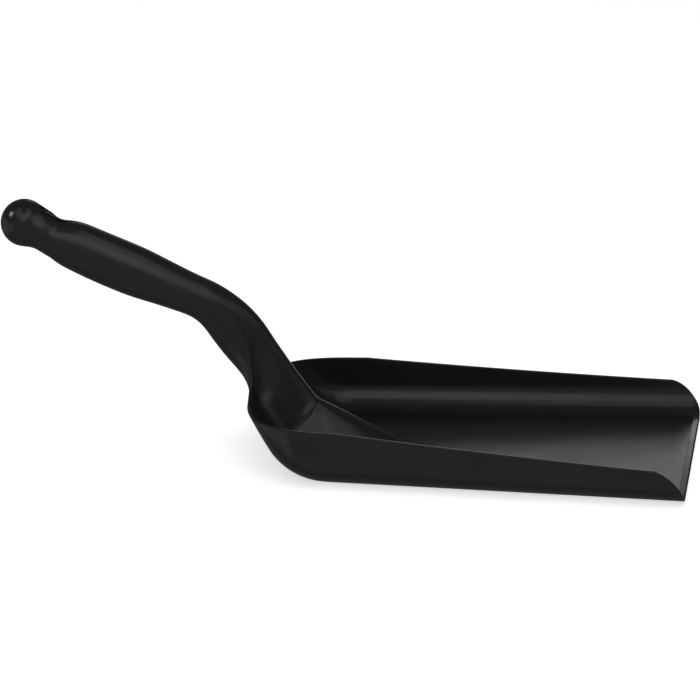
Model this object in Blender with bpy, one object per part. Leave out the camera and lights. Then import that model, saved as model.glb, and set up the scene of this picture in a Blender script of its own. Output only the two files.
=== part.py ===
"""Grain scoop shovel with a short grip.

One moulding carries the flat pan, the ridge-backed neck and the hollow grip.
A second moulding closes the grip: it has a spigot that presses into the bore,
the hanging slot and the knob. All sizes below are in millimetres.

Frame: +X towards the lip, +Z up, Y = 0 is the plane of symmetry. The origin
is on the ground, under the middle of the overall length.
"""
import math

import bmesh
import bpy
import numpy as np
from mathutils import Vector

MM = 0.001

# Pan
LIP_X = 275.0
WALL = 3.0
LIP_EDGE = 1.2
LIP_BEVEL = 5.0
LIP_CORNER_RISE = 0.8
FLOOR_HALF_WIDTH = 113.4
FLOOR_TAPER = 0.0817
RIM_HEIGHT = 27.4
RIM_RISE = 0.0487
RIM_RISE_GROWTH = 0.0000618
CORNER_LENGTH = 24.0
CORNER_POWER = 1.6
SIDE_FILLET = 25.4
SIDE_LEAN = math.radians(1.0)

# Stern, where the pan closes under the neck
STERN_X = 5.0
STERN_RIM_GAIN = 0.1
STERN_EASE = 48.0
REAR_X = -75.0
REAR_FILLET = 54.0
RAMP_SLOPE = math.radians(52.5)
RIM_PLAN_POWER = 3.0
FLOOR_PLAN_POWER = 4.3

# Ridge that runs from the neck down into the pan: distance ahead of the ramp's foot, height, half-width
RIDGE = [
    (0.0, 34.4, 29.0),
    (26.0, 22.0, 27.0),
    (42.0, 14.4, 23.0),
    (53.0, 9.2, 19.0),
    (62.0, 5.0, 15.0),
    (71.0, 2.0, 12.0),
    (84.0, 0.0, 10.0),
]
RIDGE_RAMP_GAIN = 1.6
RIDGE_RAMP_EASE = 0.33
RIDGE_FLATNESS = 1.25
RIDGE_RAMP_HALF_WIDTH = 23.0

# Levels of the stern's sections, from the neck down to the floor, and places of the pan's sections
STERN_LEVELS = (0.84, 0.78, 0.69, 0.59, 0.49, 0.39, 0.29, 0.2, 0.1, 0.0)
PAN_X = (8.0, 16.0, 24.0, 33.0, 42.0, 50.0, 58.0, 70.0, 110.0, 180.0)
LIP_STEPS = (CORNER_LENGTH, 17.0, 12.0, 8.0, LIP_BEVEL, 2.6, 1.0, 0.0)
STERN_SPREAD = 0.75
STERN_RUN_POWER = 1.25

# Grip and neck, from the slot forward: underside x and z, lean of the section from upright in degrees,
# depth, half-width, height of the widest point as a share of the depth, and share of ridge shape
GRIP = [
    (-246.0, 157.0, 23.0, 31.6, 16.7, 0.50, 0.00),
    (-240.0, 153.4, 23.0, 30.9, 16.5, 0.50, 0.00),
    (-233.5, 149.2, 23.0, 34.2, 16.6, 0.50, 0.00),
    (-227.5, 145.0, 23.0, 37.8, 16.8, 0.50, 0.00),
    (-219.8, 141.0, 23.0, 39.5, 17.0, 0.50, 0.00),
    (-203.8, 133.6, 23.0, 40.5, 17.2, 0.50, 0.00),
    (-180.0, 123.9, 23.0, 40.7, 17.2, 0.50, 0.00),
    (-164.0, 118.7, 22.5, 38.7, 16.9, 0.50, 0.00),
    (-148.0, 114.1, 22.5, 35.7, 16.4, 0.50, 0.00),
    (-132.0, 109.1, 25.0, 33.3, 15.6, 0.50, 0.00),
    (-121.6, 104.7, 32.0, 33.5, 15.2, 0.50, 0.00),
    (-113.5, 97.7, 42.0, 36.0, 15.2, 0.50, 0.05),
    (-106.0, 87.5, 50.0, 39.8, 15.4, 0.50, 0.22),
    (-95.7, 74.4, 53.0, 40.4, 16.4, 0.50, 0.60),
    (-84.1, 61.8, 53.0, 37.6, 19.0, 0.31, 0.95),
    (-75.3, 51.4, 53.0, 37.6, 23.6, 0.12, 1.00),
]
SEAM = 3.5
NECK_END = 14.0
NECK_STEP = 0.5
BRIDGE_STEPS = 4
APRON_STEPS = 2
KNOB_X = -256.1
KNOB_Z = 178.3
KNOB_RADIUS = 18.9
KNOB_HALF_WIDTH = 18.0

# Stations of the end cap's waist, and degrees round the knob from its waist to its tip
WAIST = (3.1, 2.7, 2.3, 1.9, 1.4, 1.0, 0.5, 0.0)
KNOB_ANGLES = (112.0, 98.0, 84.0, 70.0, 56.0, 43.0, 31.0, 20.0, 10.0)

# Joint between the two mouldings: distances are in from the seam, along the grip
GAP = 0.3
BORE_WALL = 4.2
BORE_LENGTH = 84.0
BORE_END_INSET = 0.8
SPIGOT_LENGTH = 26.0
SPIGOT_LEAD_IN = 1.5
SPIGOT_LEAD_INSET = 1.0
SNAP_BEAD = 0.8
SNAP_RAMP = 1.0
BEAD_START = 15.0
BEAD_END = 18.0
GROOVE_START = 13.0
GROOVE_END = 20.0
GROOVE_RAMP = 2.0

# Hanging slot, through the depth of the end cap
SLOT_STATION = 0.35
SLOT_LENGTH = 23.0
SLOT_WIDTH = 9.5
SLOT_FLARE = 3.0
SLOT_FLARE_STEPS = 3
SLOT_POINTS = 24

# Points along each half of a section: the run out from the centre plane, then the climb to the edge
RUN = 10
CLIMB = 6
SHARP_ANGLE = math.radians(35.0)

# Where those points sit on the grip's oval and on the neck's ridge shape
EDGE_ANGLE = math.radians(82.0)
RUN_ANGLE = math.radians(52.0)
RUN_SHARE = 0.86
FLANGE_EDGE = 2.0
RIDGE_SPREAD = 0.94


def spline(keys, data, value):
    """Value of a natural cubic spline through the given points."""
    count = len(keys)
    gaps = np.diff(keys)
    system = np.eye(count)
    bends = np.zeros(count)
    for i in range(1, count - 1):
        system[i, i - 1 : i + 2] = gaps[i - 1], 2.0 * (gaps[i - 1] + gaps[i]), gaps[i]
        bends[i] = 6.0 * ((data[i + 1] - data[i]) / gaps[i] - (data[i] - data[i - 1]) / gaps[i - 1])
    second = np.linalg.solve(system, bends)
    value = float(np.clip(value, keys[0], keys[-1]))
    i = int(np.clip(np.searchsorted(keys, value) - 1, 0, count - 2))
    a = (keys[i + 1] - value) / gaps[i]
    b = 1.0 - a
    straight = a * data[i] + b * data[i + 1]
    return straight + ((a**3 - a) * second[i] + (b**3 - b) * second[i + 1]) * gaps[i] ** 2 / 6.0


def curve(table, column, value):
    """Smooth curve through one column of a table, read against its first column."""
    table = np.array(table, float)
    return float(spline(table[:, 0], table[:, column], value))


def bell(u):
    """Smooth hump with a broad top: 1 at the middle, 0 from 1 outwards."""
    return 0.5 * (1.0 + math.cos(math.pi * min(abs(u), 1.0) ** RIDGE_FLATNESS))


def eased(run, reach):
    """Run that slows down and stops at half the reach."""
    run = min(max(run, 0.0), reach)
    return run - run * run / (2.0 * reach)


def rim_height(x):
    """Height of the pan's rim above the ground."""
    s = LIP_X - min(max(x, STERN_X), LIP_X)
    height = RIM_HEIGHT + RIM_RISE * s + RIM_RISE_GROWTH * s * s
    if s < CORNER_LENGTH:
        low = WALL + LIP_CORNER_RISE
        share = (1.0 - (1.0 - s / CORNER_LENGTH) ** CORNER_POWER) ** (1.0 / CORNER_POWER)
        height = low + (height - low) * share
    return height + STERN_RIM_GAIN * eased(STERN_X - x, STERN_EASE)


def floor_half_width(x):
    return FLOOR_HALF_WIDTH - FLOOR_TAPER * (LIP_X - x)


def thickness(x):
    """Wall thickness, thinned to the lip's bevel."""
    s = min((LIP_X - x) / LIP_BEVEL, 1.0)
    return LIP_EDGE + (WALL - LIP_EDGE) * s


def wall_point(share, height, radius, lean, wall, inner):
    """Point of a wall's section: distance out from the floor's edge, and height."""
    inner_radius = radius - wall
    full = math.pi / 2.0 - lean
    rise = height - wall
    arc_rise = inner_radius * (1.0 - math.cos(full))
    if rise <= arc_rise:
        top = math.acos(1.0 - rise / inner_radius)
        straight = 0.0
    else:
        top = full
        straight = (rise - arc_rise) / math.cos(lean)
    along = share * (radius * top + straight)
    phi = min(along / radius, top)
    run = max(along - radius * top, 0.0)
    out = radius * math.sin(phi) + run * math.sin(lean)
    up = radius * (1.0 - math.cos(phi)) + run * math.cos(lean)
    if inner:
        out -= wall * math.sin(phi)
        up += wall * math.cos(phi)
    return out, up, phi


def side_point(x, share, inner):
    """Point of the pan's side wall: distance from the centre plane, and height."""
    wall = thickness(x)
    out, up, _ = wall_point(share, rim_height(x), SIDE_FILLET, SIDE_LEAN, wall, inner)
    return floor_half_width(x) + out, up


def ramp_wall(share, inner):
    """The ramp on the centre plane, as a wall that stands on the floor's end."""
    return wall_point(share, rim_height(REAR_X), REAR_FILLET, math.pi / 2 - RAMP_SLOPE, WALL, inner)


def ramp_foot():
    """Place where the stern's ramp meets the flat floor."""
    return REAR_X + ramp_wall(1.0, False)[0]


def hull_point(share, bearing, inner):
    """Stern surface: share climbs from the floor to the rim, bearing goes from the back (0) to the side."""
    power = FLOOR_PLAN_POWER + (RIM_PLAN_POWER - FLOOR_PLAN_POWER) * share**2
    reach = (math.sin(bearing) ** power + math.cos(bearing) ** power) ** (-1.0 / power)
    side_share = reach * math.sin(bearing)
    back_share = reach * math.cos(bearing)
    ramp_out, ramp_z, _ = ramp_wall(share, inner)
    x = STERN_X + (ramp_foot() - ramp_out - STERN_X) * back_share
    side_y, side_z = side_point(STERN_X, share, inner)
    side_y -= FLOOR_TAPER * eased(STERN_X - x, STERN_EASE)
    weight = back_share**power
    return np.array([x, side_y * side_share, side_z + (ramp_z - side_z) * weight])


def fractions():
    """Shares along a half section: the inner run, then the climb to the edge."""
    run = [(j / RUN, 0.0) for j in range(RUN + 1)]
    climb = [(1.0, j / CLIMB) for j in range(1, CLIMB + 1)]
    return run + climb


def rounded_fractions(roundness):
    """The same shares with the corner between run and climb rounded off: 0 keeps it, 1 is a quarter turn."""
    pairs = []
    total = RUN + CLIMB
    for k, (run, climb) in enumerate(fractions()):
        angle = math.pi / 2.0 * k / total
        run += (math.sin(angle) - run) * roundness
        climb += (1.0 - math.cos(angle) - climb) * roundness
        pairs.append((run, climb))
    return pairs


def close_section(upper, lower):
    """Full closed loop from two half curves, each from the centre plane to the edge."""
    half = upper + lower[::-1]
    mirrored = [p * np.array([1.0, -1.0, 1.0]) for p in half[-2:0:-1]]
    return half + mirrored


def ridge_rise(ahead, y):
    """Height of the ridge above the pan's floor, so far ahead of the ramp's foot and so far off centre."""
    return max(curve(RIDGE, 1, ahead), 0.0) * bell(y / curve(RIDGE, 2, ahead))


def pan_section(x):
    """Section across the straight part of the pan."""
    ahead = x - ramp_foot()
    upper = []
    lower = []
    for run, climb in fractions():
        for points, inner in ((upper, True), (lower, False)):
            y, z = side_point(x, climb, inner)
            if climb == 0.0:
                y = run * floor_half_width(x)
                z = thickness(x) if inner else 0.0
            if inner:
                z += ridge_rise(ahead, y)
            points.append(np.array([x, y, z]))
    return close_section(upper, lower)


def stern_section(level):
    """Section of the stern: along one height of the ramp, then up the wall to the rim."""
    slope = ramp_wall(level, True)[2]
    gain = 2.0 * RIDGE_RAMP_GAIN / RIDGE_RAMP_EASE * eased(level, RIDGE_RAMP_EASE)
    height = RIDGE[0][1] + gain
    half_width = RIDGE[0][2] + (RIDGE_RAMP_HALF_WIDTH - RIDGE[0][2]) * level
    normal = np.array([math.sin(slope), 0.0, math.cos(slope)])
    corner = math.pi / 2.0 * (1.0 - level) ** STERN_SPREAD
    upper = []
    lower = []
    for run, climb in rounded_fractions(level / STERN_LEVELS[0]):
        bearing = corner * run**STERN_RUN_POWER
        share = level + (1.0 - level) * climb
        for points, inner in ((upper, True), (lower, False)):
            p = hull_point(share, bearing, inner)
            if inner:
                p = p + normal * height * bell(p[1] / half_width)
            points.append(p)
    return close_section(upper, lower)


def apron_sections(start, end, count):
    """Sections that carry the flat floor from the curved foot of the ramp to the first straight section."""
    first, last = np.array(start), np.array(end)
    floor_points = RUN + 1
    sections = []
    for k in range(1, count + 1):
        share = k / (count + 1)
        ring = first + (last - first) * share
        for i in list(range(floor_points)) + list(range(1 - floor_points, 0)):
            x, y, _ = ring[i]
            ring[i][2] = WALL + ridge_rise(x - ramp_foot(), y)
        sections.append(list(ring))
    return sections


def grip_row(station):
    """Row of the grip's table at any station, smoothed between the rows."""
    table = np.array(GRIP, float)
    keys = np.arange(len(GRIP), dtype=float)
    return [float(spline(keys, table[:, c], station)) for c in range(table.shape[1])]


def oval_point(angle, depth, half_width, widest):
    """Point of an oval in its own plane, from the top (0) round the side to the underside (180 degrees)."""
    reach = depth - widest if angle < math.pi / 2 else widest
    return half_width * math.sin(angle), widest + reach * math.cos(angle)


def grip_section(station, inset=0.0):
    """Section of the grip or neck, in the plane that its lean gives."""
    x, z, lean, depth, half_width, share, ridge = grip_row(station)
    ridge = min(max(ridge, 0.0), 1.0)
    lean = math.radians(lean)
    up = np.array([math.sin(lean), 0.0, math.cos(lean)])
    side = np.array([0.0, 1.0, 0.0])
    base = np.array([x, 0.0, z]) + up * inset
    depth -= 2.0 * inset
    half_width -= inset
    widest = share * depth
    upper = []
    lower = []
    for run, climb in fractions():
        angle = RUN_ANGLE * run + (EDGE_ANGLE - RUN_ANGLE) * climb
        y_flat = half_width * (RUN_SHARE * run + (1.0 - RUN_SHARE) * climb)
        edge = widest + FLANGE_EDGE
        n_flat = edge + (depth - edge) * bell(y_flat / (half_width * RIDGE_SPREAD))
        y, n = oval_point(angle, depth, half_width, widest)
        upper.append(base + side * (y + (y_flat - y) * ridge) + up * (n + (n_flat - n) * ridge))
        y, n = oval_point(math.pi - angle, depth, half_width, widest)
        lower.append(base + side * y + up * n)
    return close_section(upper, lower)


def grip_axis():
    """Directions of the grip at the seam: along it towards the knob, and up through its depth."""
    lean = math.radians(grip_row(SEAM)[2])
    back = Vector((-math.cos(lean), 0.0, math.sin(lean)))
    up = Vector((math.sin(lean), 0.0, math.cos(lean)))
    return back, up


def plug_section(along, inset):
    """Oval of the seam, made smaller by inset and moved along the grip's axis (+ towards the knob)."""
    back, _ = grip_axis()
    shift = np.array(back) * along
    return [p + shift for p in grip_section(SEAM, inset)]


def knob_section(angle):
    """Ring of the knob's ball: 0 is the tip."""
    back, up = grip_axis()
    middle = np.array([KNOB_X, 0.0, KNOB_Z]) + np.array(back) * KNOB_RADIUS * math.cos(angle)
    half_width = KNOB_HALF_WIDTH * math.sin(angle)
    half_depth = KNOB_RADIUS * math.sin(angle)
    upper = []
    lower = []
    for run, climb in fractions():
        turn = RUN_ANGLE * run + (EDGE_ANGLE - RUN_ANGLE) * climb
        for points, sign in ((upper, 1.0), (lower, -1.0)):
            y = np.array([0.0, 1.0, 0.0]) * half_width * math.sin(turn)
            n = np.array(up) * half_depth * math.cos(turn) * sign
            points.append(middle + y + n)
    return close_section(upper, lower)


def bridge(before, after, count):
    """Sections that join two rows of sections smoothly, one end tangent to each."""
    p0, p1 = np.array(before[-1]), np.array(after[0])
    span = np.linalg.norm(p1 - p0, axis=1, keepdims=True)
    m0 = p0 - np.array(before[-2])
    m1 = np.array(after[1]) - p1
    m0 = m0 / np.linalg.norm(m0, axis=1, keepdims=True) * span
    m1 = m1 / np.linalg.norm(m1, axis=1, keepdims=True) * span
    sections = []
    for k in range(1, count + 1):
        t = k / (count + 1)
        p = p0 * (2 * t**3 - 3 * t**2 + 1) + p1 * (3 * t**2 - 2 * t**3)
        p = p + m0 * (t**3 - 2 * t**2 + t) + m1 * (t**3 - t**2)
        sections.append(list(p))
    return sections


def loft(name, sections):
    """Closed solid through a row of sections with the same number of points."""
    mesh = bpy.data.meshes.new(name)
    bm = bmesh.new()
    rings = [[bm.verts.new(Vector(p) * MM) for p in section] for section in sections]
    for a, b in zip(rings, rings[1:]):
        for i in range(len(a)):
            j = (i + 1) % len(a)
            bm.faces.new((a[i], a[j], b[j], b[i]))
    for ring in (rings[0][::-1], rings[-1]):
        last = len(ring) // 2 - 1
        for i in range(last + 1):
            corners = (ring[i], ring[i + 1], ring[-i - 1], ring[-i])
            if i == 0:
                corners = (ring[0], ring[1], ring[-1])
            if i == last:
                corners = (ring[i], ring[i + 1], ring[-i])
            bm.faces.new(corners)
    bmesh.ops.recalc_face_normals(bm, faces=bm.faces)
    bm.to_mesh(mesh)
    bm.free()
    mesh.shade_smooth()
    mesh.set_sharp_from_angle(angle=SHARP_ANGLE)
    mesh.materials.append(polypropylene(name))
    obj = bpy.data.objects.new(name, mesh)
    bpy.context.collection.objects.link(obj)
    return obj


def polypropylene(piece):
    """Black satin polypropylene, one material for each piece."""
    material = bpy.data.materials.new("black_polypropylene_" + piece)
    material.use_nodes = True
    shader = material.node_tree.nodes["Principled BSDF"]
    shader.inputs["Base Color"].default_value = (0.012, 0.012, 0.013, 1.0)
    shader.inputs["Roughness"].default_value = 0.38
    shader.inputs["Metallic"].default_value = 0.0
    return material


def build_scoop():
    """Pan, neck and grip in one moulding, with the grip's bore open at the seam."""
    groove = BORE_WALL - SNAP_BEAD
    bore = [plug_section(-BORE_LENGTH, BORE_WALL + BORE_END_INSET)]
    bore.append(plug_section(-GROOVE_END, BORE_WALL))
    bore.append(plug_section(-GROOVE_END + GROOVE_RAMP, groove))
    bore.append(plug_section(-GROOVE_START - GROOVE_RAMP, groove))
    bore.append(plug_section(-GROOVE_START, BORE_WALL))
    bore.append(plug_section(-GAP / 2.0, BORE_WALL))
    grip = [plug_section(-GAP / 2.0, 0.0)]
    stations = np.arange(SEAM + NECK_STEP, NECK_END + NECK_STEP / 2.0, NECK_STEP)
    grip += [grip_section(station) for station in stations]
    stern = [stern_section(level) for level in STERN_LEVELS]
    grip += bridge(grip, stern, BRIDGE_STEPS)
    middle = [pan_section(x) for x in PAN_X]
    apron = apron_sections(stern[-1], middle[0], APRON_STEPS)
    corner = [pan_section(LIP_X - step) for step in LIP_STEPS]
    return loft("scoop_body", bore + grip + stern + apron + middle + corner)


def build_end_cap():
    """Spigot, slotted waist and knob in one moulding."""
    ring = BORE_WALL + GAP
    bead = ring - SNAP_BEAD
    sections = [plug_section(-SPIGOT_LENGTH, ring + SPIGOT_LEAD_INSET)]
    sections.append(plug_section(-SPIGOT_LENGTH + SPIGOT_LEAD_IN, ring))
    sections.append(plug_section(-BEAD_END, ring))
    sections.append(plug_section(-BEAD_END + SNAP_RAMP, bead))
    sections.append(plug_section(-BEAD_START - SNAP_RAMP, bead))
    sections.append(plug_section(-BEAD_START, ring))
    sections.append(plug_section(GAP / 2.0, ring))
    sections.append(plug_section(GAP / 2.0, 0.0))
    sections += [grip_section(station) for station in WAIST]
    sections += [knob_section(math.radians(angle)) for angle in KNOB_ANGLES]
    cap = loft("end_cap", sections)
    cut_slot(cap)
    return cap


def slot_ring(middle, back, up, level, offset):
    """Round-ended outline of the slot at one level of the grip's depth, grown by offset."""
    radius = SLOT_WIDTH / 2.0 + offset
    half_run = (SLOT_LENGTH - SLOT_WIDTH) / 2.0
    ring = []
    for i in range(SLOT_POINTS):
        angle = 2.0 * math.pi * (i + 0.5) / SLOT_POINTS
        along = radius * math.cos(angle) + math.copysign(half_run, math.cos(angle))
        across = Vector((0.0, radius * math.sin(angle), 0.0))
        ring.append(middle + back * along + up * level + across)
    return ring


def cut_slot(cap):
    """Cuts a round-ended slot with rounded mouths through the cap's depth."""
    back, up = grip_axis()
    x, z, _, depth, _, _, _ = grip_row(SLOT_STATION)
    half = depth / 2.0
    middle = Vector((x, 0.0, z)) + up * half
    mouth = [(half + KNOB_RADIUS, SLOT_FLARE)]
    for k in range(SLOT_FLARE_STEPS + 1):
        turn = math.pi / 2.0 * (1.0 - k / SLOT_FLARE_STEPS)
        level = half - SLOT_FLARE * (1.0 - math.sin(turn))
        mouth.append((level, SLOT_FLARE * (1.0 - math.cos(turn))))
    levels = [(-n, f) for n, f in mouth] + mouth[::-1]
    bm = bmesh.new()
    rings = [[bm.verts.new(p * MM) for p in slot_ring(middle, back, up, n, f)] for n, f in levels]
    for a, b in zip(rings, rings[1:]):
        for i in range(SLOT_POINTS):
            j = (i + 1) % SLOT_POINTS
            bm.faces.new((a[i], a[j], b[j], b[i]))
    bm.faces.new(rings[0][::-1])
    bm.faces.new(rings[-1])
    bmesh.ops.recalc_face_normals(bm, faces=bm.faces)
    mesh = bpy.data.meshes.new("slot_cutter")
    bm.to_mesh(mesh)
    bm.free()
    cutter = bpy.data.objects.new("slot_cutter", mesh)
    cutter.hide_render = True
    cutter.display_type = "WIRE"
    bpy.context.collection.objects.link(cutter)
    cut = cap.modifiers.new("hanging_slot", "BOOLEAN")
    cut.operation = "DIFFERENCE"
    cut.object = cutter


def clear_scene():
    for obj in list(bpy.data.objects):
        bpy.data.objects.remove(obj)


def main():
    clear_scene()
    build_scoop()
    build_end_cap()


main()
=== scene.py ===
"""Looks of the grain scoop shovel: its fine moulded surfaces, its plastic, and a plain studio.

The two pieces here stand for the two CAD nodes. They follow the same driving dimensions in
millimetres and the same frame: +X towards the lip, +Z up, Y = 0 the plane of symmetry.
"""
import math

import bmesh
import bpy
import numpy as np
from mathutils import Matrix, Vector


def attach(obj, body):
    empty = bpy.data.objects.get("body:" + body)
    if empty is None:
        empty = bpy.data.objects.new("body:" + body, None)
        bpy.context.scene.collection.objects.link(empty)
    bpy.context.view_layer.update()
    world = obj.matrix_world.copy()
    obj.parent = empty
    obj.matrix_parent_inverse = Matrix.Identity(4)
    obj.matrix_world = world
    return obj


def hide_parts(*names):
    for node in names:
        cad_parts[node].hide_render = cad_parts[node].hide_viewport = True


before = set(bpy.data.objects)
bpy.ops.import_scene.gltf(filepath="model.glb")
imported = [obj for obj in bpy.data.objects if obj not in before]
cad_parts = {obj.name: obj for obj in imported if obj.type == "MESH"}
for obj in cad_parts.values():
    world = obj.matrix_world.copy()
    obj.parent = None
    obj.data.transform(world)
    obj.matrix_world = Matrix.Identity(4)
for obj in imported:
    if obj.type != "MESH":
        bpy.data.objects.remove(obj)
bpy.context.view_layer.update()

MM = 0.001

# Pan
LIP_X = 275.0
WALL = 3.0
LIP_EDGE = 1.2
LIP_BEVEL = 5.0
LIP_CORNER_RISE = 0.8
FLOOR_HALF_WIDTH = 113.4
FLOOR_TAPER = 0.0817
RIM_HEIGHT = 27.4
RIM_RISE = 0.0487
RIM_RISE_GROWTH = 0.0000618
CORNER_LENGTH = 24.0
CORNER_POWER = 1.6
SIDE_FILLET = 25.4
SIDE_LEAN = math.radians(1.0)

# Stern, where the pan closes under the neck
STERN_X = 5.0
STERN_RIM_GAIN = 0.1
STERN_EASE = 48.0
REAR_X = -75.0
REAR_FILLET = 54.0
RAMP_SLOPE = math.radians(52.5)
RIM_PLAN_POWER = 3.0
FLOOR_PLAN_POWER = 4.3
STERN_SPREAD = 0.75
STERN_RUN_POWER = 1.25
STERN_TOP_LEVEL = 0.84

# Ridge that runs from the neck down into the pan: distance ahead of the ramp's foot, height, half-width
RIDGE = [
    (0.0, 34.4, 29.0),
    (26.0, 22.0, 27.0),
    (42.0, 14.4, 23.0),
    (53.0, 9.2, 19.0),
    (62.0, 5.0, 15.0),
    (71.0, 2.0, 12.0),
    (84.0, 0.0, 10.0),
]
RIDGE_RAMP_GAIN = 1.6
RIDGE_RAMP_EASE = 0.33
RIDGE_FLATNESS = 1.25
RIDGE_RAMP_HALF_WIDTH = 23.0

# Grip and neck, from the slot forward: underside x and z, lean of the section from upright in degrees,
# depth, half-width, height of the widest point as a share of the depth, and share of ridge shape
GRIP = [
    (-246.0, 157.0, 23.0, 31.6, 16.7, 0.50, 0.00),
    (-240.0, 153.4, 23.0, 30.9, 16.5, 0.50, 0.00),
    (-233.5, 149.2, 23.0, 34.2, 16.6, 0.50, 0.00),
    (-227.5, 145.0, 23.0, 37.8, 16.8, 0.50, 0.00),
    (-219.8, 141.0, 23.0, 39.5, 17.0, 0.50, 0.00),
    (-203.8, 133.6, 23.0, 40.5, 17.2, 0.50, 0.00),
    (-180.0, 123.9, 23.0, 40.7, 17.2, 0.50, 0.00),
    (-164.0, 118.7, 22.5, 38.7, 16.9, 0.50, 0.00),
    (-148.0, 114.1, 22.5, 35.7, 16.4, 0.50, 0.00),
    (-132.0, 109.1, 25.0, 33.3, 15.6, 0.50, 0.00),
    (-121.6, 104.7, 32.0, 33.5, 15.2, 0.50, 0.00),
    (-113.5, 97.7, 42.0, 36.0, 15.2, 0.50, 0.05),
    (-106.0, 87.5, 50.0, 39.8, 15.4, 0.50, 0.22),
    (-95.7, 74.4, 53.0, 40.4, 16.4, 0.50, 0.60),
    (-84.1, 61.8, 53.0, 37.6, 19.0, 0.31, 0.95),
    (-75.3, 51.4, 53.0, 37.6, 23.6, 0.12, 1.00),
]
SEAM = 3.5
NECK_END = 14.0
KNOB_X = -256.1
KNOB_Z = 178.3
KNOB_RADIUS = 18.9
KNOB_HALF_WIDTH = 18.0
KNOB_START = 104.0
KNOB_END = 3.0

# Joint between the two mouldings: the bore and spigot run in from the seam, along the grip
SEAM_GAP = 0.02
BORE_WALL = 4.2
BORE_LENGTH = 84.0
BORE_TAPER = 0.8
SPIGOT_LENGTH = 26.0
SPIGOT_TIP = 1.5
SPIGOT_TAPER = 1.0
FIT_GAP = 0.3
SNAP_BEAD = 0.8
BEAD_RUN = (-18.0, -17.0, -16.0, -15.0)
GROOVE_RUN = (-20.0, -18.0, -15.0, -13.0)

# Hanging slot
SLOT_STATION = 0.35
SLOT_LENGTH = 23.0
SLOT_WIDTH = 9.5
SLOT_FLARE = 3.0
SLOT_FLARE_STEPS = 10
SLOT_POINTS = 80

# Points along each section, and steps from section to section
RUN = 44
CLIMB = 26
CAP = 10
GRIP_STEPS = 104
BRIDGE_STEPS = 16
STERN_STEPS = 56
APRON_STEPS = 14
MIDDLE_STEPS = 50
FRONT_STEPS = 12
CORNER_STEPS = 30
LIP_STEPS = 5
WAIST_STEPS = 60
KNOB_BRIDGE_STEPS = 6
KNOB_STEPS = 48
MIDDLE_START = 2.0
MIDDLE_END = 90.0
FRONT_START = 100.0
FRONT_MARGIN = 5.0
CORNER_PART = 0.9
CORNER_CROWDING = 1.6
GRIP_START = 0.1
WAIST_START = 0.15

# Evening out, counted in sections, at the root of the neck and at the ramp's foot
NECK_EVENED = 14
STERN_EVENED = 26
PAN_EVENED = 12
NECK_REACH = 60.0
NECK_ROUNDS = 40
FOOT_REACH = 48.0
FOOT_ROUNDS = 90
EVENING_PACE = 0.8
CREST_ROUNDS = 5
CREST_WIDTH = 26.0

# Edges
EDGE_ROUND = 0.9
EDGE_POWER = 0.7
LIP_ROUND = 0.5
LIP_THINNEST = 0.35
SHARP_ANGLE = math.radians(40.0)

# Where the section's points sit on the grip's oval and on the neck's ridge shape
EDGE_ANGLE = math.radians(82.0)
RUN_ANGLE = math.radians(52.0)
RUN_SHARE = 0.86
FLANGE_EDGE = 2.0
RIDGE_SPREAD = 0.94

# Plastic
REFRACTION = 1.49
GRAIN_SCALE = 2600.0
FLOW_SCALE = 16.0
FLOW_RANGE = (0.3, 0.7)
ROUGHNESS_RANGE = (0.19, 0.26)
DARK_TONE = (0.0066, 0.0066, 0.0069, 1.0)
LIGHT_TONE = (0.0086, 0.0086, 0.0088, 1.0)
SWELL_HEIGHT = 0.0006
SKIN_HEIGHT = 0.00003

# Stage and lights, in metres
STAGE_RADIUS = 14.0
FLOOR_DROP = 0.0003
FLOOR_WHITE = 0.92
FLOOR_GLOW = 0.6
DOME_GLOW = 1.05
SKY_STRENGTH = 0.1
# Each panel: name, place, aim, width, height, radiance, and the kind of light it gives
PANELS = [
    ("fill_above", (0.0, 0.0, 3.0), (0.0, 0.0, 0.0), 5.0, 5.0, 0.8, "diffuse"),
    ("fill_front", (0.0, -3.0, 0.8), (0.0, 0.0, 0.1), 4.0, 2.5, 2.0, "diffuse"),
    ("back_card", (-0.12, 3.2, 1.3), (-0.12, 0.0, 0.1), 0.7, 2.2, 0.37, "glossy"),
    ("front_card", (0.0, -2.2, -1.0), (0.0, 0.0, 0.1), 8.0, 5.0, 0.12, "glossy"),
    ("pan_card", (-0.15, -1.5, 1.32), (-0.15, 0.0, 0.0), 0.9, 1.3, 0.72, "glossy"),
    ("grip_card", (0.5, -1.05, 1.72), (0.5, 0.0, 0.15), 0.7, 2.0, 0.58, "glossy"),
    ("crown_card", (-1.05, -1.05, 1.72), (-1.05, 0.0, 0.15), 0.9, 2.0, 0.5, "glossy"),
    ("neck_card", (2.0, -0.9, 1.0), (0.0, -0.1, 0.1), 1.2, 0.8, 0.15, "glossy"),
    ("bend_card", (1.3, -0.95, 1.5), (0.0, -0.1, 0.1), 1.6, 0.8, 0.35, "glossy"),
    ("crest_card", (0.2, 0.65, 0.1), (0.05, 0.0, 0.05), 0.5, 0.08, 1.1, "glossy"),
    ("knob_card", (-0.353, -0.034, 0.248), (-0.256, 0.0, 0.179), 0.032, 0.032, 6.0, "glossy"),
    ("left_card", (-2.4, -0.4, -0.4), (-0.1, -0.1, 0.05), 3.2, 1.6, 0.25, "glossy"),
]

# Camera, in degrees, metres and millimetres of lens
CAMERA_AZIMUTH = 6.443924
CAMERA_ELEVATION = 14.755872
CAMERA_DISTANCE = 4.1
CAMERA_TARGET = (0.00313, 0.0, 0.0816)
CAMERA_SENSOR = 36.0
CAMERA_LENS = 266.67
CAMERA_RANGE = 60.0


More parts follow.
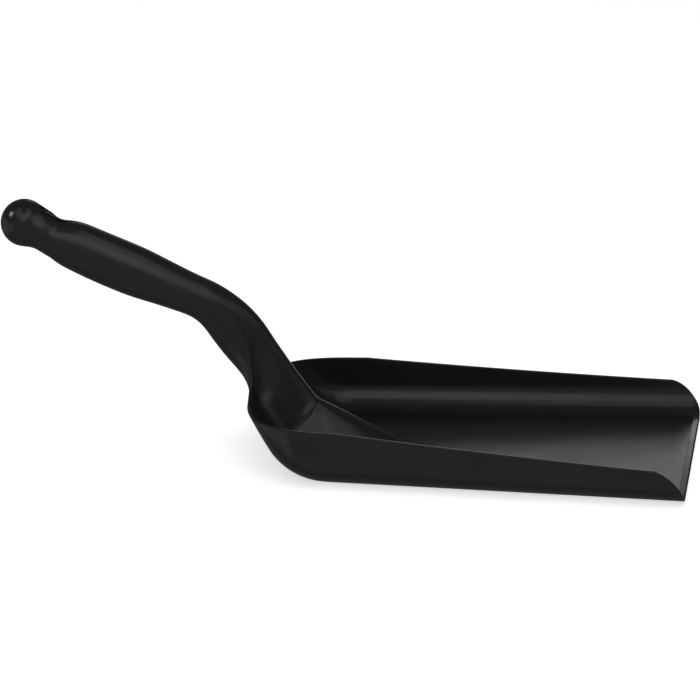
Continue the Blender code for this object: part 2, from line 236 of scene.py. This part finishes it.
def spline(keys, data, value):
    """Value of a natural cubic spline through the given points."""
    count = len(keys)
    gaps = np.diff(keys)
    system = np.eye(count)
    bends = np.zeros(count)
    for i in range(1, count - 1):
        system[i, i - 1 : i + 2] = gaps[i - 1], 2.0 * (gaps[i - 1] + gaps[i]), gaps[i]
        bends[i] = 6.0 * ((data[i + 1] - data[i]) / gaps[i] - (data[i] - data[i - 1]) / gaps[i - 1])
    second = np.linalg.solve(system, bends)
    value = float(np.clip(value, keys[0], keys[-1]))
    i = int(np.clip(np.searchsorted(keys, value) - 1, 0, count - 2))
    a = (keys[i + 1] - value) / gaps[i]
    b = 1.0 - a
    straight = a * data[i] + b * data[i + 1]
    return straight + ((a**3 - a) * second[i] + (b**3 - b) * second[i + 1]) * gaps[i] ** 2 / 6.0


def curve(table, column, value):
    """Smooth curve through one column of a table, read against its first column."""
    table = np.array(table, float)
    return float(spline(table[:, 0], table[:, column], value))


def bell(u):
    """Smooth hump with a broad top: 1 at the middle, 0 from 1 outwards."""
    return 0.5 * (1.0 + math.cos(math.pi * min(abs(u), 1.0) ** RIDGE_FLATNESS))


def eased(run, reach):
    """Run that slows down and stops at half the reach."""
    run = min(max(run, 0.0), reach)
    return run - run * run / (2.0 * reach)


def rim_height(x):
    """Height of the pan's rim above the ground."""
    s = LIP_X - min(max(x, STERN_X), LIP_X)
    height = RIM_HEIGHT + RIM_RISE * s + RIM_RISE_GROWTH * s * s
    if s < CORNER_LENGTH:
        low = WALL + LIP_CORNER_RISE
        share = (1.0 - (1.0 - s / CORNER_LENGTH) ** CORNER_POWER) ** (1.0 / CORNER_POWER)
        height = low + (height - low) * share
    return height + STERN_RIM_GAIN * eased(STERN_X - x, STERN_EASE)


def floor_half_width(x):
    return FLOOR_HALF_WIDTH - FLOOR_TAPER * (LIP_X - x)


def thickness(x):
    """Wall thickness, thinned to the lip's bevel."""
    s = min((LIP_X - x) / LIP_BEVEL, 1.0)
    return LIP_EDGE + (WALL - LIP_EDGE) * s


def wall_point(share, height, radius, lean, wall, inner):
    """Point of a wall's section: distance out from the floor's edge, height, slope and whole length."""
    inner_radius = radius - wall
    full = math.pi / 2.0 - lean
    rise = height - wall
    arc_rise = inner_radius * (1.0 - math.cos(full))
    if rise <= arc_rise:
        top = math.acos(1.0 - rise / inner_radius)
        straight = 0.0
    else:
        top = full
        straight = (rise - arc_rise) / math.cos(lean)
    length = radius * top + straight
    along = share * length
    phi = min(along / radius, top)
    run = max(along - radius * top, 0.0)
    out = radius * math.sin(phi) + run * math.sin(lean)
    up = radius * (1.0 - math.cos(phi)) + run * math.cos(lean)
    if inner:
        out -= wall * math.sin(phi)
        up += wall * math.cos(phi)
    return out, up, phi, length


def side_point(x, share, inner):
    """Point of the pan's side wall: distance from the centre plane, and height."""
    out, up, _, _ = wall_point(share, rim_height(x), SIDE_FILLET, SIDE_LEAN, thickness(x), inner)
    return floor_half_width(x) + out, up


def ramp_wall(share, inner):
    return wall_point(share, rim_height(REAR_X), REAR_FILLET, math.pi / 2 - RAMP_SLOPE, WALL, inner)


def ramp_foot():
    """Place where the stern's ramp meets the flat floor."""
    return REAR_X + ramp_wall(1.0, False)[0]


def hull_point(share, bearing, inner):
    """Stern surface: share climbs from the floor to the rim, bearing goes from the back (0) to the side."""
    power = FLOOR_PLAN_POWER + (RIM_PLAN_POWER - FLOOR_PLAN_POWER) * share**2
    reach = (math.sin(bearing) ** power + math.cos(bearing) ** power) ** (-1.0 / power)
    side_share = reach * math.sin(bearing)
    back_share = reach * math.cos(bearing)
    ramp_out, ramp_z, _, _ = ramp_wall(share, inner)
    x = STERN_X + (ramp_foot() - ramp_out - STERN_X) * back_share
    side_y, side_z = side_point(STERN_X, share, inner)
    side_y -= FLOOR_TAPER * eased(STERN_X - x, STERN_EASE)
    weight = back_share**power
    return np.array([x, side_y * side_share, side_z + (ramp_z - side_z) * weight])


def fractions():
    """Shares along a half section: the run out from the centre plane, then the climb to the edge."""
    run = [(j / RUN, 0.0) for j in range(RUN + 1)]
    climb = [(1.0, j / CLIMB) for j in range(1, CLIMB + 1)]
    return run + climb


def rounded_fractions(roundness):
    """Shares as above, with the corner between run and climb rounded off: 0 keeps it, 1 is a quarter turn."""
    pairs = []
    total = RUN + CLIMB
    for k, (run, climb) in enumerate(fractions()):
        angle = math.pi / 2.0 * k / total
        run += (math.sin(angle) - run) * roundness
        climb += (1.0 - math.cos(angle) - climb) * roundness
        pairs.append((run, climb))
    return pairs


def close_section(upper, edge, lower):
    """Full closed loop from the upper half curve, the points round its edge and the lower half curve."""
    half = upper + edge + lower[::-1]
    mirrored = [p * np.array([1.0, -1.0, 1.0]) for p in half[-2:0:-1]]
    return half + mirrored


def rounded_edge(inner, outer, rise):
    """Points over a rim, from its inner side to its outer side."""
    middle = (inner + outer) / 2.0
    half = (inner - outer) / 2.0
    points = []
    for k in range(1, CAP):
        angle = math.pi * k / CAP
        across = math.copysign(abs(math.cos(angle)) ** EDGE_POWER, math.cos(angle))
        points.append(middle + half * across + rise * math.sin(angle) ** EDGE_POWER)
    return points


def edge_share(x, wall_length):
    """Share of the wall's length at which its rounded edge begins."""
    return 1.0 - min(EDGE_ROUND, thickness(x) / 2.0) / wall_length


def pan_section(x, squeeze=1.0):
    """Section across the straight part of the pan. Squeeze thins it about its middle, to round the lip."""
    ahead = x - ramp_foot()
    length = wall_point(1.0, rim_height(x), SIDE_FILLET, SIDE_LEAN, thickness(x), False)[3]
    top_share = edge_share(x, length)
    sides = {True: [], False: []}
    for run, climb in fractions():
        for inner, points in sides.items():
            y, z = side_point(x, climb * top_share, inner)
            if climb == 0.0:
                y = run * floor_half_width(x)
                z = thickness(x) if inner else 0.0
            if inner:
                z += ridge_rise(ahead, y)
            points.append(np.array([x, y, z]))
    top = sum(np.array([x, *side_point(x, 1.0, inner)]) for inner in sides) / 2.0
    rise = top - (sides[True][-1] + sides[False][-1]) / 2.0
    edge = rounded_edge(sides[True][-1], sides[False][-1], rise)
    if squeeze < 1.0:
        for i, (a, b) in enumerate(zip(sides[True], sides[False])):
            middle = (a + b) / 2.0
            sides[True][i] = middle + (a - middle) * squeeze
            sides[False][i] = middle + (b - middle) * squeeze
        edge = rounded_edge(sides[True][-1], sides[False][-1], rise * squeeze)
    return close_section(sides[True], edge, sides[False])


def stern_section(level):
    """Section of the stern: along one height of the ramp, then up the wall to the rim."""
    slope = ramp_wall(level, True)[2]
    gain = 2.0 * RIDGE_RAMP_GAIN / RIDGE_RAMP_EASE * eased(level, RIDGE_RAMP_EASE)
    height = RIDGE[0][1] + gain
    half_width = RIDGE[0][2] + (RIDGE_RAMP_HALF_WIDTH - RIDGE[0][2]) * level
    normal = np.array([math.sin(slope), 0.0, math.cos(slope)])
    corner = math.pi / 2.0 * (1.0 - level) ** STERN_SPREAD
    top_share = edge_share(STERN_X, ramp_wall(1.0, False)[3])
    sides = {True: [], False: []}
    for run, climb in rounded_fractions(level / STERN_TOP_LEVEL):
        bearing = corner * run**STERN_RUN_POWER
        share = level + (top_share - level) * climb
        for inner, points in sides.items():
            p = hull_point(share, bearing, inner)
            if inner:
                p = p + normal * height * bell(p[1] / half_width)
            points.append(p)
    top = (hull_point(1.0, corner, True) + hull_point(1.0, corner, False)) / 2.0
    rise = top - (sides[True][-1] + sides[False][-1]) / 2.0
    edge = rounded_edge(sides[True][-1], sides[False][-1], rise)
    return close_section(sides[True], edge, sides[False])


def ridge_rise(ahead, y):
    """Height of the ridge above the pan's floor, so far ahead of the ramp's foot and so far off centre."""
    return max(curve(RIDGE, 1, ahead), 0.0) * bell(y / curve(RIDGE, 2, ahead))


def apron_sections(start, end, count):
    """Sections that carry the flat floor from the curved foot of the ramp to the first straight section."""
    first, last = np.array(start), np.array(end)
    floor_points = RUN + 1
    sections = []
    for k in range(1, count + 1):
        share = k / (count + 1)
        ring = first + (last - first) * share
        for i in list(range(floor_points)) + list(range(1 - floor_points, 0)):
            x, y, _ = ring[i]
            ring[i][2] = WALL + ridge_rise(x - ramp_foot(), y)
        sections.append(list(ring))
    return sections


def crest_height(line, x):
    """Height of the highest part of a line above one place."""
    best = line[0][2] if x <= line[0][0] else line[-1][2]
    for a, b in zip(line[:-1], line[1:]):
        if min(a[0], b[0]) <= x < max(a[0], b[0]):
            best = max(best, a[2] + (b[2] - a[2]) * (x - a[0]) / (b[0] - a[0]))
    return best


def relax(sections, first, last, width, rounds):
    """Evens out the middle of the upper surface between two sections, then restores the crest's height."""
    grid = np.array(sections[first : last + 1])
    upper = RUN + CLIMB
    hold = np.sin(np.linspace(0.0, math.pi, len(grid)))[1:-1, None, None]
    edge = np.clip((upper - np.arange(upper)) / CLIMB, 0.0, 1.0)[None, :, None]
    offset = np.clip(np.abs(grid[1:-1, :upper, 1:2]) / width, 0.0, 1.0)
    weight = EVENING_PACE * hold * edge * np.cos(offset * math.pi / 2.0) ** 2
    drawn = grid[:, 0].copy()
    for _ in range(rounds):
        centre = grid[:, :upper + 1]
        middle = (centre[:-2, 1:-1] + centre[2:, 1:-1] + centre[1:-1, :-2] + centre[1:-1, 2:]) / 4.0
        grid[1:-1, 1:upper] += (middle - grid[1:-1, 1:upper]) * weight[:, 1:]
        crest = (grid[:-2, 0] + grid[2:, 0]) / 4.0 + grid[1:-1, 1] * np.array([0.5, 0.0, 0.5])
        grid[1:-1, 0] += (crest - grid[1:-1, 0]) * weight[:, 0]
        grid[:, : -upper : -1] = grid[:, 1:upper] * np.array([1.0, -1.0, 1.0])
    lift = np.zeros((len(grid), 3))
    lift[:, 2] = [crest_height(drawn, x) - z for x, _, z in grid[:, 0]]
    for _ in range(CREST_ROUNDS):
        lift[1:-1] += (lift[:-2] + lift[2:] - 2.0 * lift[1:-1]) / 4.0
    for k in range(1 - upper, upper):
        share = [bell(y / CREST_WIDTH) for y in grid[:, k, 1]]
        grid[:, k] += lift * np.array(share)[:, None]
    for i, ring in enumerate(grid):
        sections[first + i] = list(ring)


def grip_row(station):
    """Row of the grip's table at any station, smoothed between the rows."""
    table = np.array(GRIP, float)
    keys = np.arange(len(GRIP), dtype=float)
    return [float(spline(keys, table[:, c], station)) for c in range(table.shape[1])]


def oval_point(angle, depth, half_width, widest):
    """Point of an oval in its own plane, from the top (0) round the side to the underside (180 degrees)."""
    reach = depth - widest if angle < math.pi / 2 else widest
    return half_width * math.sin(angle), widest + reach * math.cos(angle)


def grip_section(station, inset=0.0):
    """Section of the grip or neck, in the plane that its lean gives."""
    x, z, lean, depth, half_width, share, ridge = grip_row(station)
    ridge = min(max(ridge, 0.0), 1.0)
    lean = math.radians(lean)
    up = np.array([math.sin(lean), 0.0, math.cos(lean)])
    side = np.array([0.0, 1.0, 0.0])
    base = np.array([x, 0.0, z]) + up * inset
    depth -= 2.0 * inset
    half_width -= inset
    widest = share * depth
    flange = widest + FLANGE_EDGE

    def place(y, n):
        return base + side * y + up * n

    upper = []
    lower = []
    for run, climb in fractions():
        angle = RUN_ANGLE * run + (EDGE_ANGLE - RUN_ANGLE) * climb
        y_flat = half_width * (RUN_SHARE * run + (1.0 - RUN_SHARE) * climb)
        n_flat = flange + (depth - flange) * bell(y_flat / (half_width * RIDGE_SPREAD))
        y, n = oval_point(angle, depth, half_width, widest)
        shift = np.array([y_flat - y, n_flat - n]) * ridge
        upper.append(place(y + shift[0], n + shift[1]))
        lower.append(place(*oval_point(math.pi - angle, depth, half_width, widest)))
    edge = []
    for k in range(1, CAP):
        angle = EDGE_ANGLE + (math.pi - 2.0 * EDGE_ANGLE) * k / CAP
        y, n = oval_point(angle, depth, half_width, widest)
        fade = math.cos(math.pi / 2.0 * k / CAP) ** 2
        edge.append(place(y + shift[0] * fade, n + shift[1] * fade))
    return close_section(upper, edge, lower)


def grip_axis():
    """Directions of the grip at the seam: along it towards the knob, and up through its depth."""
    lean = math.radians(grip_row(SEAM)[2])
    back = np.array([-math.cos(lean), 0.0, math.sin(lean)])
    up = np.array([math.sin(lean), 0.0, math.cos(lean)])
    return back, up


def plug_section(along, inset):
    """Oval of the seam, made smaller by inset and moved along the grip's axis (+ towards the knob)."""
    back, _ = grip_axis()
    return [p + back * along for p in grip_section(SEAM, inset)]


def knob_section(angle):
    """Ring of the knob's ball: 0 is the tip."""
    back, up = grip_axis()
    middle = np.array([KNOB_X, 0.0, KNOB_Z]) + back * KNOB_RADIUS * math.cos(angle)
    half_width = KNOB_HALF_WIDTH * math.sin(angle)
    half_depth = KNOB_RADIUS * math.sin(angle)

    def place(turn):
        return middle + np.array([0.0, half_width * math.sin(turn), 0.0]) + up * half_depth * math.cos(turn)

    turns = [RUN_ANGLE * run + (EDGE_ANGLE - RUN_ANGLE) * climb for run, climb in fractions()]
    edge = [EDGE_ANGLE + (math.pi - 2.0 * EDGE_ANGLE) * k / CAP for k in range(1, CAP)]
    upper = [place(turn) for turn in turns]
    lower = [place(math.pi - turn) for turn in turns]
    return close_section(upper, [place(turn) for turn in edge], lower)


def bridge(before, after, count):
    """Sections that join two rows of sections smoothly, one end tangent to each."""
    p0, p1 = np.array(before[-1]), np.array(after[0])
    span = np.linalg.norm(p1 - p0, axis=1, keepdims=True)
    m0 = p0 - np.array(before[-2])
    m1 = np.array(after[1]) - p1
    m0 = m0 / np.linalg.norm(m0, axis=1, keepdims=True) * span
    m1 = m1 / np.linalg.norm(m1, axis=1, keepdims=True) * span
    sections = []
    for k in range(1, count + 1):
        t = k / (count + 1)
        p = p0 * (2 * t**3 - 3 * t**2 + 1) + p1 * (3 * t**2 - 2 * t**3)
        p = p + m0 * (t**3 - 2 * t**2 + t) + m1 * (t**3 - t**2)
        sections.append(list(p))
    return sections


def fill_end(bm, ring):
    """Closes a ring with faces that run across it."""
    last = len(ring) // 2 - 1
    for i in range(last + 1):
        corners = (ring[i], ring[i + 1], ring[-i - 1], ring[-i])
        if i == 0:
            corners = (ring[0], ring[1], ring[-1])
        if i == last:
            corners = (ring[i], ring[i + 1], ring[-i])
        bm.faces.new(corners)


def mesh_piece(name, bm):
    """Makes a smooth-shaded object of the mesh."""
    bmesh.ops.recalc_face_normals(bm, faces=bm.faces)
    mesh = bpy.data.meshes.new(name)
    bm.to_mesh(mesh)
    bm.free()
    mesh.shade_smooth()
    mesh.set_sharp_from_angle(angle=SHARP_ANGLE)
    obj = bpy.data.objects.new(name, mesh)
    bpy.context.scene.collection.objects.link(obj)
    return obj


def loft(name, sections):
    """Closed surface through a row of sections with the same number of points."""
    bm = bmesh.new()
    rings = [[bm.verts.new(Vector(p) * MM) for p in section] for section in sections]
    for a, b in zip(rings, rings[1:]):
        for i in range(len(a)):
            j = (i + 1) % len(a)
            bm.faces.new((a[i], a[j], b[j], b[i]))
    fill_end(bm, rings[0][::-1])
    fill_end(bm, rings[-1])
    return mesh_piece(name, bm)


def steps(start, end, count):
    return [start + (end - start) * k / count for k in range(count + 1)]


def build_scoop():
    """Pan, neck and grip in one moulding, with the bore open at the seam."""
    groove = BORE_WALL - SNAP_BEAD
    bore = [plug_section(-BORE_LENGTH, BORE_WALL + BORE_TAPER)]
    for along, inset in zip(GROOVE_RUN, (BORE_WALL, groove, groove, BORE_WALL)):
        bore.append(plug_section(along, inset))
    bore.append(plug_section(-SEAM_GAP / 2.0, BORE_WALL))
    grip = [plug_section(-SEAM_GAP / 2.0, 0.0)]
    grip += [grip_section(station) for station in steps(SEAM + GRIP_START, NECK_END, GRIP_STEPS)]
    stern = [stern_section(level) for level in steps(STERN_TOP_LEVEL, 0.0, STERN_STEPS)]
    grip += bridge(grip, stern, BRIDGE_STEPS)
    middle = [pan_section(x) for x in steps(STERN_X + MIDDLE_START, MIDDLE_END, MIDDLE_STEPS)]
    apron = apron_sections(stern[-1], middle[0], APRON_STEPS)
    sections = bore + grip + stern + apron + middle
    neck_end = len(bore + grip)
    foot = neck_end + len(stern)
    neck_start = neck_end - BRIDGE_STEPS - NECK_EVENED
    relax(sections, neck_start, neck_end + STERN_EVENED, NECK_REACH, NECK_ROUNDS)
    relax(sections, foot - STERN_EVENED, foot + APRON_STEPS + PAN_EVENED, FOOT_REACH, FOOT_ROUNDS)
    front = [pan_section(x) for x in steps(FRONT_START, LIP_X - CORNER_LENGTH - FRONT_MARGIN, FRONT_STEPS)]
    corner = []
    for t in steps(0.0, CORNER_PART, CORNER_STEPS):
        corner.append(pan_section(LIP_X - CORNER_LENGTH * (1.0 - t) ** CORNER_CROWDING))
    lip = []
    for k in range(LIP_STEPS + 1):
        angle = math.pi / 2.0 * k / LIP_STEPS
        x = LIP_X - LIP_ROUND * (1.0 - math.sin(angle))
        lip.append(pan_section(x, LIP_THINNEST + (1.0 - LIP_THINNEST) * math.cos(angle)))
    return loft("scoop_moulding", sections + front + corner + lip)


def slot_cutter():
    """Round-ended cutter with mouths that open like a trumpet."""
    back, up = grip_axis()
    x, z, _, depth, _, _, _ = grip_row(SLOT_STATION)
    half = depth / 2.0
    middle = np.array([x, 0.0, z]) + up * half
    mouth = [(half + KNOB_RADIUS, SLOT_FLARE)]
    for k in range(SLOT_FLARE_STEPS + 1):
        turn = math.pi / 2.0 * (1.0 - k / SLOT_FLARE_STEPS)
        level = half - SLOT_FLARE * (1.0 - math.sin(turn))
        mouth.append((level, SLOT_FLARE * (1.0 - math.cos(turn))))
    bm = bmesh.new()
    rings = []
    for level, offset in [(-n, f) for n, f in mouth] + mouth[::-1]:
        radius = SLOT_WIDTH / 2.0 + offset
        half_run = (SLOT_LENGTH - SLOT_WIDTH) / 2.0
        ring = []
        for i in range(SLOT_POINTS):
            angle = 2.0 * math.pi * (i + 0.5) / SLOT_POINTS
            along = radius * math.cos(angle) + math.copysign(half_run, math.cos(angle))
            p = middle + back * along + up * level + np.array([0.0, radius * math.sin(angle), 0.0])
            ring.append(bm.verts.new(Vector(p) * MM))
        rings.append(ring)
    for a, b in zip(rings, rings[1:]):
        for i in range(SLOT_POINTS):
            j = (i + 1) % SLOT_POINTS
            bm.faces.new((a[i], a[j], b[j], b[i]))
    bm.faces.new(rings[0][::-1])
    bm.faces.new(rings[-1])
    return mesh_piece("slot_cutter", bm)


def build_end_cap():
    """Spigot, slotted waist and knob in one moulding."""
    ring = BORE_WALL + FIT_GAP
    bead = ring - SNAP_BEAD
    sections = [plug_section(-SPIGOT_LENGTH, ring + SPIGOT_TAPER)]
    sections.append(plug_section(SPIGOT_TIP - SPIGOT_LENGTH, ring))
    for along, inset in zip(BEAD_RUN, (ring, bead, bead, ring)):
        sections.append(plug_section(along, inset))
    sections.append(plug_section(SEAM_GAP / 2.0, ring))
    waist = [plug_section(SEAM_GAP / 2.0, 0.0)]
    waist += [grip_section(station) for station in steps(SEAM - WAIST_START, 0.0, WAIST_STEPS)]
    knob = [knob_section(math.radians(angle)) for angle in steps(KNOB_START, KNOB_END, KNOB_STEPS)]
    sections += waist + bridge(waist, knob, KNOB_BRIDGE_STEPS) + knob
    cap = loft("end_cap_moulding", sections)
    cutter = slot_cutter()
    cut = cap.modifiers.new("hanging_slot", "BOOLEAN")
    cut.operation = "DIFFERENCE"
    cut.object = cutter
    bpy.context.view_layer.update()
    evaluated = cap.evaluated_get(bpy.context.evaluated_depsgraph_get())
    finished = bpy.data.meshes.new_from_object(evaluated)
    cap.modifiers.clear()
    cap.data = finished
    finished.shade_smooth()
    finished.set_sharp_from_angle(angle=SHARP_ANGLE)
    bpy.data.objects.remove(cutter)
    return cap


def polypropylene():
    """Black injection-moulded polypropylene with a satin skin."""
    material = bpy.data.materials.new("black_polypropylene_satin")
    material.use_nodes = True
    tree = material.node_tree
    shader = tree.nodes["Principled BSDF"]
    shader.inputs["Metallic"].default_value = 0.0
    shader.inputs["IOR"].default_value = REFRACTION

    def node(kind, **values):
        made = tree.nodes.new(kind)
        for key, value in values.items():
            if key in made.inputs:
                made.inputs[key].default_value = value
            else:
                setattr(made, key, value)
        return made

    def link(a, output, b, socket):
        tree.links.new(a.outputs[output], b.inputs[socket])

    place = node("ShaderNodeTexCoord")
    grain = node("ShaderNodeTexNoise", Scale=GRAIN_SCALE, Detail=3.0, Roughness=0.6)
    flow = node("ShaderNodeTexNoise", Scale=FLOW_SCALE, Detail=4.0, Roughness=0.55)
    for texture in (grain, flow):
        link(place, "Object", texture, "Vector")

    rough = node("ShaderNodeMapRange")
    rough.inputs["From Min"].default_value, rough.inputs["From Max"].default_value = FLOW_RANGE
    rough.inputs["To Min"].default_value, rough.inputs["To Max"].default_value = ROUGHNESS_RANGE
    link(flow, "Fac", rough, "Value")
    link(rough, "Result", shader, "Roughness")

    tone = node("ShaderNodeMix", data_type="RGBA")
    tone.inputs["A"].default_value = DARK_TONE
    tone.inputs["B"].default_value = LIGHT_TONE
    link(flow, "Fac", tone, "Factor")
    tree.links.new(next(s for s in tone.outputs if s.type == "RGBA"), shader.inputs["Base Color"])

    swell = node("ShaderNodeBump", Strength=0.5, Distance=SWELL_HEIGHT)
    link(flow, "Fac", swell, "Height")
    skin = node("ShaderNodeBump", Strength=0.25, Distance=SKIN_HEIGHT)
    link(grain, "Fac", skin, "Height")
    link(swell, "Normal", skin, "Normal")
    link(skin, "Normal", shader, "Normal")
    return material


def panel(name, place, aim, width, height, radiance, kind):
    """Soft white light panel. It shows in reflections (glossy) or gives plain light (diffuse)."""
    data = bpy.data.lights.new(name, "AREA")
    data.shape = "RECTANGLE"
    data.size = width
    data.size_y = height
    data.energy = radiance * width * height * math.pi
    light = bpy.data.objects.new(name, data)
    light.location = place
    light.rotation_euler = (Vector(aim) - Vector(place)).to_track_quat("-Z", "Y").to_euler()
    light.visible_glossy = kind == "glossy"
    light.visible_diffuse = kind == "diffuse"
    bpy.context.scene.collection.objects.link(light)


def glowing_white(name, strength):
    """Material that gives off plain white light."""
    material = bpy.data.materials.new(name)
    material.use_nodes = True
    tree = material.node_tree
    tree.nodes.clear()
    glow = tree.nodes.new("ShaderNodeEmission")
    glow.inputs["Color"].default_value = (1.0, 1.0, 1.0, 1.0)
    glow.inputs["Strength"].default_value = strength
    out = tree.nodes.new("ShaderNodeOutputMaterial")
    tree.links.new(glow.outputs["Emission"], out.inputs["Surface"])
    return material


def build_stage():
    """White floor and a white dome. Neither shows in the plastic's reflections."""
    bm = bmesh.new()
    bmesh.ops.create_circle(bm, cap_ends=True, segments=96, radius=STAGE_RADIUS)
    floor = mesh_piece("stage_floor", bm)
    floor.location = (0.0, 0.0, -FLOOR_DROP)
    paint = bpy.data.materials.new("stage_white")
    paint.use_nodes = True
    shader = paint.node_tree.nodes["Principled BSDF"]
    shader.inputs["Base Color"].default_value = (FLOOR_WHITE, FLOOR_WHITE, FLOOR_WHITE, 1.0)
    shader.inputs["Roughness"].default_value = 0.9
    shader.inputs["Specular IOR Level"].default_value = 0.0
    shader.inputs["Emission Color"].default_value = (1.0, 1.0, 1.0, 1.0)
    shader.inputs["Emission Strength"].default_value = FLOOR_GLOW
    floor.data.materials.append(paint)
    floor.visible_glossy = False
    bm = bmesh.new()
    bmesh.ops.create_uvsphere(bm, u_segments=64, v_segments=32, radius=STAGE_RADIUS)
    dome = mesh_piece("stage_dome", bm)
    dome.data.materials.append(glowing_white("stage_glow", DOME_GLOW))
    dome.visible_glossy = False
    dome.visible_diffuse = False
    dome.visible_shadow = False


def build_lights():
    """Dim white surroundings and the light panels."""
    world = bpy.data.worlds.new("studio")
    world.use_nodes = True
    sky = world.node_tree.nodes["Background"]
    sky.inputs["Color"].default_value = (1.0, 1.0, 1.0, 1.0)
    sky.inputs["Strength"].default_value = SKY_STRENGTH
    bpy.context.scene.world = world
    for values in PANELS:
        panel(*values)


def build_camera():
    """Camera with a long lens, a little to the right of the shovel's side and above it."""
    azimuth = math.radians(CAMERA_AZIMUTH)
    elevation = math.radians(CAMERA_ELEVATION)
    level = math.cos(elevation)
    ahead = Vector((-math.sin(azimuth) * level, math.cos(azimuth) * level, -math.sin(elevation)))
    data = bpy.data.cameras.new("camera")
    data.sensor_width = CAMERA_SENSOR
    data.lens = CAMERA_LENS
    data.clip_end = CAMERA_RANGE
    camera = bpy.data.objects.new("camera", data)
    camera.location = Vector(CAMERA_TARGET) - ahead * CAMERA_DISTANCE
    camera.rotation_euler = ahead.to_track_quat("-Z", "Y").to_euler()
    bpy.context.scene.collection.objects.link(camera)
    bpy.context.scene.camera = camera


def main():
    plastic = polypropylene()
    for piece, cad_node in ((build_scoop(), "scoop_body"), (build_end_cap(), "end_cap")):
        piece.data.materials.clear()
        piece.data.materials.append(plastic)
        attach(piece, "root")
        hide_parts(cad_node)
    build_stage()
    build_lights()
    build_camera()
    bpy.context.scene.view_settings.view_transform = "Standard"


main()
